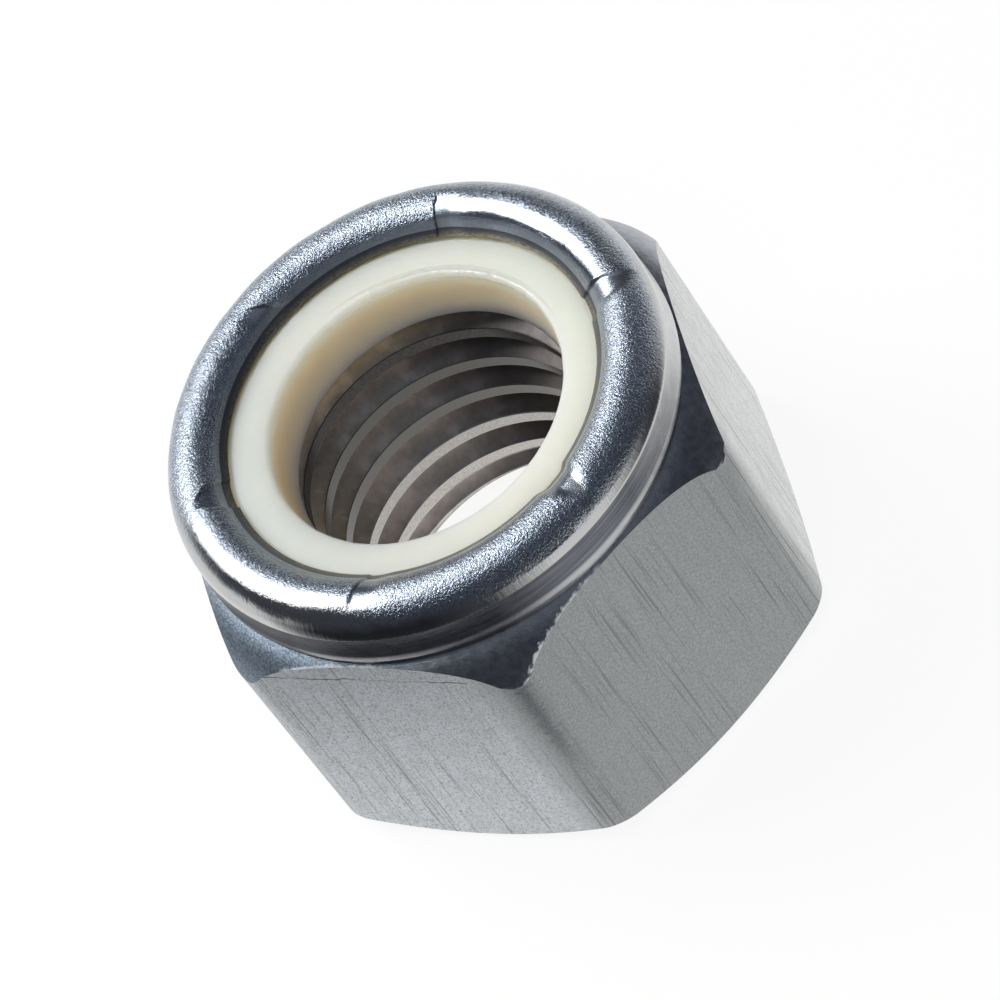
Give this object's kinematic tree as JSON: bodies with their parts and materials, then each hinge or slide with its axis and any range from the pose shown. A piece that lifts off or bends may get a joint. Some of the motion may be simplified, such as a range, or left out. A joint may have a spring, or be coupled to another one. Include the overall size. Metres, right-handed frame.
{
  "type": "nylon insert lock nut",
  "caption": "Hexagon lock nut with a rolled collar that holds a nylon ring over its threaded bore.",
  "frame": {"origin": "centre of the flat bearing face, on the thread axis", "axes": "+Z along the thread axis from the bearing face towards the nylon insert; two hexagon corners on the X axis, two flats facing -Y and +Y"},
  "size_m": [0.027, 0.0238, 0.0185],
  "materials": {
    "steel": "drawn flats, rolled and slightly grained collar",
    "nylon": "moulded, satin"
  },
  "bodies": {
    "root": {"hex_body": "steel", "nylon_insert": "nylon"}
  },
  "joints": []
}
